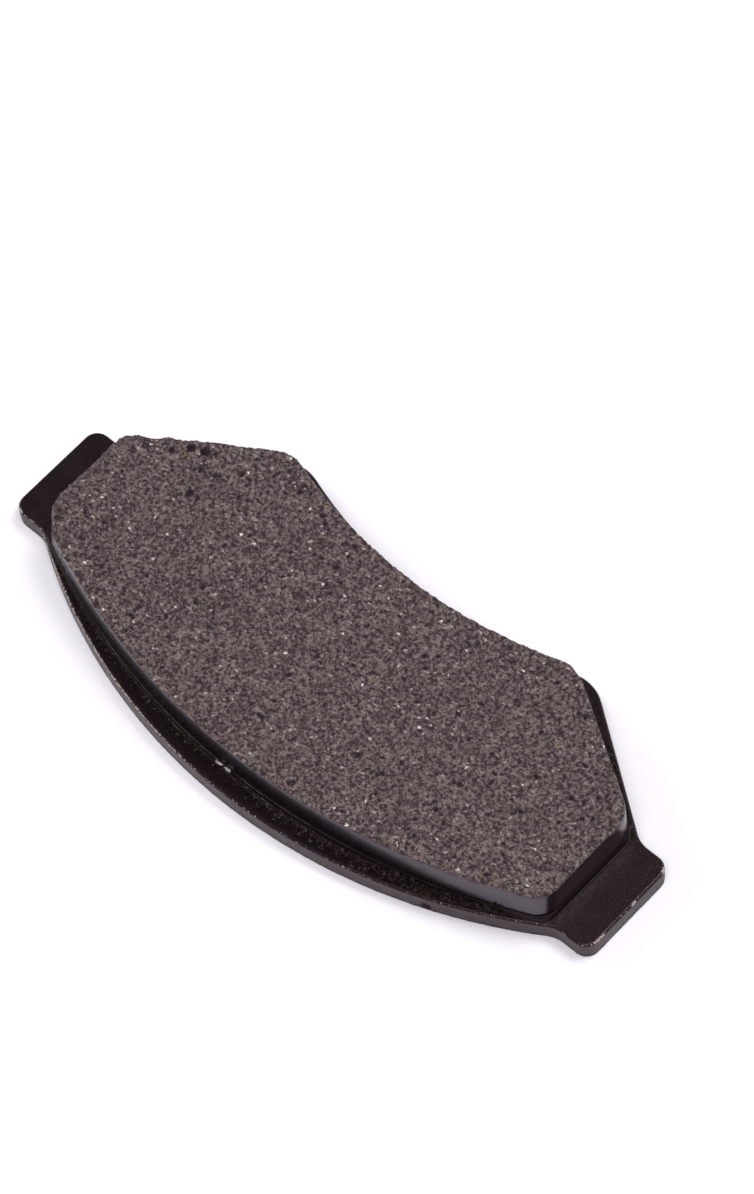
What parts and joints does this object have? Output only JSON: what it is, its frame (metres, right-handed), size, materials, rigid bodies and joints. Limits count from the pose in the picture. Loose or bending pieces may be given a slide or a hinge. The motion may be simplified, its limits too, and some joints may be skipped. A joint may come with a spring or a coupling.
{
  "type": "disc brake pad",
  "caption": "Disc brake pad: a curved steel backing plate with an abutment lug at each end, bonded and keyed to a thick friction block with a concave hub edge.",
  "frame": {"origin": "middle of the backing plate's back face, which is the bottom of the part as it lies face up", "axes": "+X from lug to lug, +Y from the convex outer edge to the concave hub edge, +Z from the piston side to the friction face"},
  "size_m": [0.1768, 0.0744, 0.0165],
  "materials": {
    "plate_paint": "satin",
    "adhesive": "matte",
    "underlayer": "matte",
    "friction_material": "matte"
  },
  "bodies": {
    "root": {"backing_plate": "plate_paint", "bond_film": "adhesive", "underlayer": "underlayer", "friction_block": "friction_material"}
  },
  "joints": []
}
